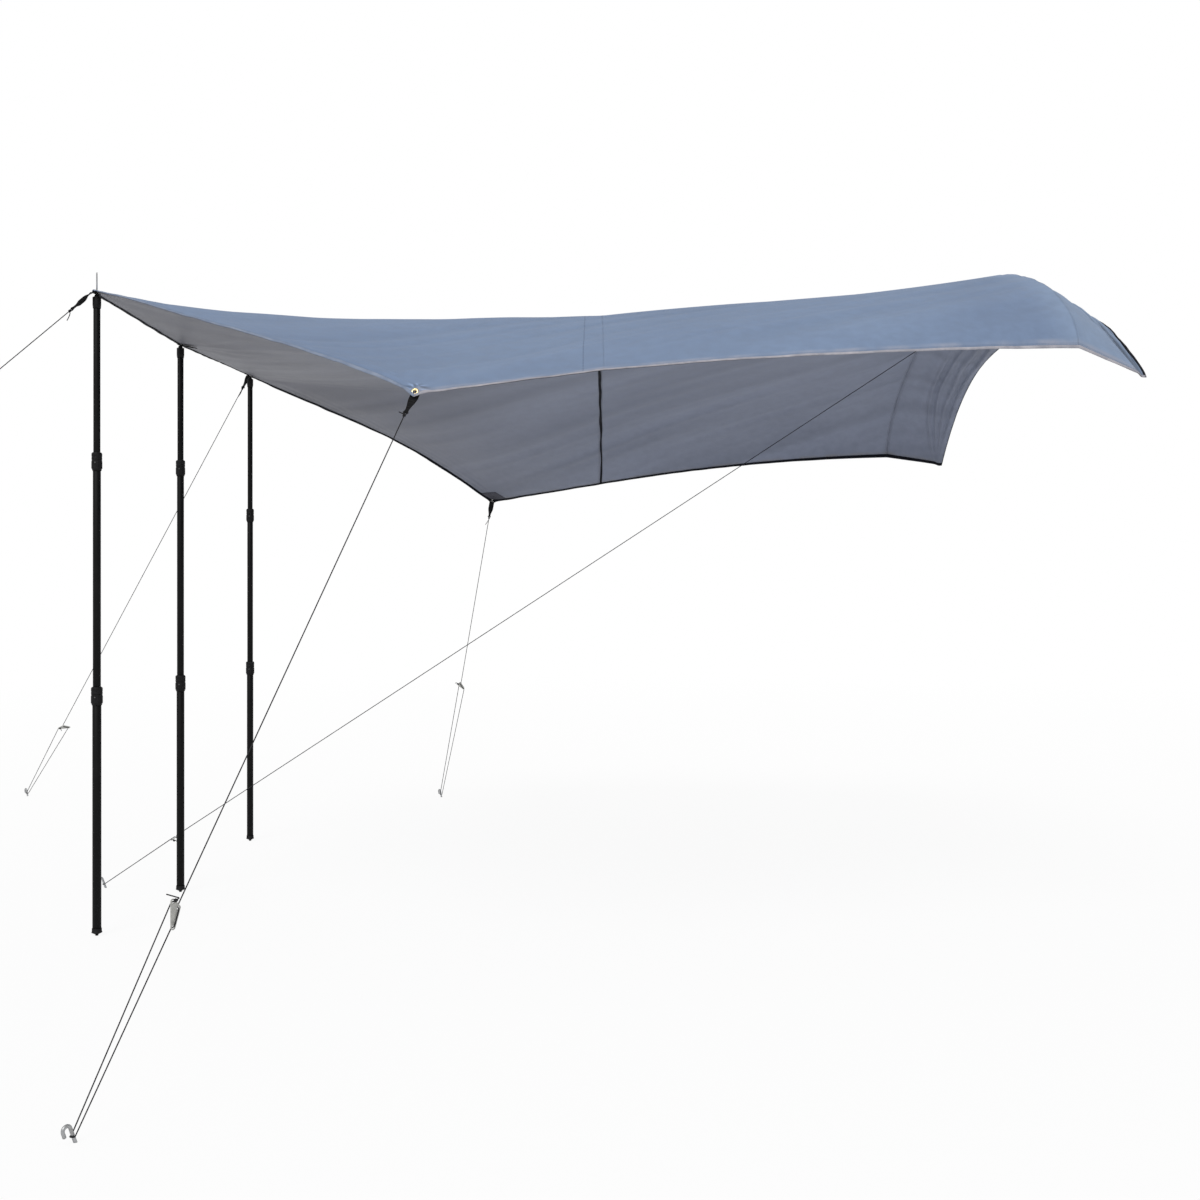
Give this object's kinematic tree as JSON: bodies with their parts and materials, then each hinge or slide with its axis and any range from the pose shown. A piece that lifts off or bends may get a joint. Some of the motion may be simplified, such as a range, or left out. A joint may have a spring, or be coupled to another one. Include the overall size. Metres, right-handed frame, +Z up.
{
  "type": "sun canopy",
  "caption": "Stretched cloth sun canopy over an arch, on telescopic poles with guy lines, runners and pegs.",
  "frame": {"origin": "underside of the cloth at the crown of the arch that the canopy lies over", "axes": "+X from the poles to the arch, +Y to the far side, +Z up; the ground is at z = -2.29 m"},
  "size_m": [4.9442, 4.9681, 2.4741],
  "materials": {
    "cloth": "matte coated polyester-cotton",
    "webbing": "woven",
    "brass": "polished",
    "pole_steel": "satin powder coat",
    "black_plastic": "matte",
    "runner_plastic": "matte",
    "line": "braided",
    "peg_steel": "zinc plated"
  },
  "bodies": {
    "canopy": {"front_panel": "cloth", "rear_panel": "cloth", "hood": "cloth", "edge_tape": "webbing", "cross_seam_tape": "webbing", "near_corner_patch": "webbing", "far_corner_patch": "webbing", "near_eyelet": "brass", "pole_1_eyelet": "brass", "pole_2_eyelet": "brass", "pole_3_eyelet": "brass", "far_eyelet": "brass", "near_loop": "webbing", "near_line": "line", "near_peg": "peg_steel", "pole_1_loop": "webbing", "pole_1_line": "line", "pole_1_peg": "peg_steel", "pole_3_loop": "webbing", "pole_3_line": "line", "pole_3_peg": "peg_steel", "far_loop": "webbing", "far_line": "line", "far_peg": "peg_steel", "centre_loop": "webbing", "centre_line": "line", "centre_peg": "peg_steel", "pole_2_tab": "webbing"},
    "pole_1_upper": {"pole_1_top": "black_plastic", "pole_1_upper_tube": "pole_steel"},
    "pole_1_middle": {"pole_1_middle_tube": "pole_steel", "pole_1_upper_ring": "black_plastic"},
    "pole_1_upper_nut": {"pole_1_upper_sleeve": "black_plastic"},
    "pole_1_lower": {"pole_1_lower_tube": "pole_steel", "pole_1_lower_ring": "black_plastic", "pole_1_foot": "black_plastic"},
    "pole_1_lower_nut": {"pole_1_lower_sleeve": "black_plastic"},
    "pole_2_upper": {"pole_2_top": "black_plastic", "pole_2_upper_tube": "pole_steel"},
    "pole_2_middle": {"pole_2_middle_tube": "pole_steel", "pole_2_upper_ring": "black_plastic"},
    "pole_2_upper_nut": {"pole_2_upper_sleeve": "black_plastic"},
    "pole_2_lower": {"pole_2_lower_tube": "pole_steel", "pole_2_lower_ring": "black_plastic", "pole_2_foot": "black_plastic"},
    "pole_2_lower_nut": {"pole_2_lower_sleeve": "black_plastic"},
    "pole_3_upper": {"pole_3_top": "black_plastic", "pole_3_upper_tube": "pole_steel"},
    "pole_3_middle": {"pole_3_middle_tube": "pole_steel", "pole_3_upper_ring": "black_plastic"},
    "pole_3_upper_nut": {"pole_3_upper_sleeve": "black_plastic"},
    "pole_3_lower": {"pole_3_lower_tube": "pole_steel", "pole_3_lower_ring": "black_plastic", "pole_3_foot": "black_plastic"},
    "pole_3_lower_nut": {"pole_3_lower_sleeve": "black_plastic"},
    "near_adjuster": {"near_runner": "runner_plastic"},
    "pole_1_adjuster": {"pole_1_runner": "runner_plastic"},
    "pole_3_adjuster": {"pole_3_runner": "runner_plastic"},
    "far_adjuster": {"far_runner": "runner_plastic"},
    "centre_adjuster": {"centre_runner": "runner_plastic"}
  },
  "joints": [
    {"name": "pole_1_tilt", "type": "hinge", "parent": "canopy", "child": "pole_1_upper", "pos_m": [-3.0441, -0.88625, -0.20249], "axis": [0, 1, 0], "range_deg": [-6, 6]},
    {"name": "pole_1_upper_slide", "type": "slide", "parent": "pole_1_upper", "child": "pole_1_middle", "axis": [0, 0, 1], "range_m": [-0.24, 0.44]},
    {"name": "pole_1_upper_twist", "type": "hinge", "parent": "pole_1_middle", "child": "pole_1_upper_nut", "pos_m": [-3.0441, -0.88625, -0.772], "axis": [0, 0, 1], "range_deg": [0, 90]},
    {"name": "pole_1_lower_slide", "type": "slide", "parent": "pole_1_middle", "child": "pole_1_lower", "axis": [0, 0, 1], "range_m": [-0.05, 0.67]},
    {"name": "pole_1_lower_twist", "type": "hinge", "parent": "pole_1_lower", "child": "pole_1_lower_nut", "pos_m": [-3.0441, -0.88625, -1.538], "axis": [0, 0, 1], "range_deg": [0, 90]},
    {"name": "pole_2_tilt", "type": "hinge", "parent": "canopy", "child": "pole_2_upper", "pos_m": [-2.97316, -0.21101, -0.24914], "axis": [0, 1, 0], "range_deg": [-6, 6]},
    {"name": "pole_2_upper_slide", "type": "slide", "parent": "pole_2_upper", "child": "pole_2_middle", "axis": [0, 0, 1], "range_m": [-0.33, 0.35]},
    {"name": "pole_2_upper_twist", "type": "hinge", "parent": "pole_2_middle", "child": "pole_2_upper_nut", "pos_m": [-2.97316, -0.21101, -0.732], "axis": [0, 0, 1], "range_deg": [0, 90]},
    {"name": "pole_2_lower_slide", "type": "slide", "parent": "pole_2_middle", "child": "pole_2_lower", "axis": [0, 0, 1], "range_m": [-0.01, 0.71]},
    {"name": "pole_2_lower_twist", "type": "hinge", "parent": "pole_2_lower", "child": "pole_2_lower_nut", "pos_m": [-2.97316, -0.21101, -1.538], "axis": [0, 0, 1], "range_deg": [0, 90]},
    {"name": "pole_3_tilt", "type": "hinge", "parent": "canopy", "child": "pole_3_upper", "pos_m": [-2.98635, 0.88657, -0.19528], "axis": [0, 1, 0], "range_deg": [-6, 6]},
    {"name": "pole_3_upper_slide", "type": "slide", "parent": "pole_3_upper", "child": "pole_3_middle", "axis": [0, 0, 1], "range_m": [-0.165, 0.52]},
    {"name": "pole_3_upper_twist", "type": "hinge", "parent": "pole_3_middle", "child": "pole_3_upper_nut", "pos_m": [-2.98635, 0.88657, -0.846], "axis": [0, 0, 1], "range_deg": [0, 90]},
    {"name": "pole_3_lower_slide", "type": "slide", "parent": "pole_3_middle", "child": "pole_3_lower", "axis": [0, 0, 1], "range_m": [-0.12, 0.596]},
    {"name": "pole_3_lower_twist", "type": "hinge", "parent": "pole_3_lower", "child": "pole_3_lower_nut", "pos_m": [-2.98635, 0.88657, -1.538], "axis": [0, 0, 1], "range_deg": [0, 90]},
    {"name": "near_tension", "type": "slide", "parent": "canopy", "child": "near_adjuster", "axis": [-0.2993, -0.4448, -0.8441], "range_m": [-0.15, 0.12], "deforming": ["near_line"]},
    {"name": "pole_1_tension", "type": "slide", "parent": "canopy", "child": "pole_1_adjuster", "axis": [-0.5431, -0.469, -0.6965], "range_m": [-0.15, 0.12], "deforming": ["pole_1_line"]},
    {"name": "pole_3_tension", "type": "slide", "parent": "canopy", "child": "pole_3_adjuster", "axis": [-0.5315, 0.4719, -0.7035], "range_m": [-0.15, 0.12], "deforming": ["pole_3_line"]},
    {"name": "far_tension", "type": "slide", "parent": "canopy", "child": "far_adjuster", "axis": [-0.187, 0.2497, -0.9501], "range_m": [-0.15, 0.12], "deforming": ["far_line"]},
    {"name": "centre_tension", "type": "slide", "parent": "canopy", "child": "centre_adjuster", "axis": [-0.8265, -0.032, -0.562], "range_m": [-0.15, 0.12], "deforming": ["centre_line"]}
  ]
}
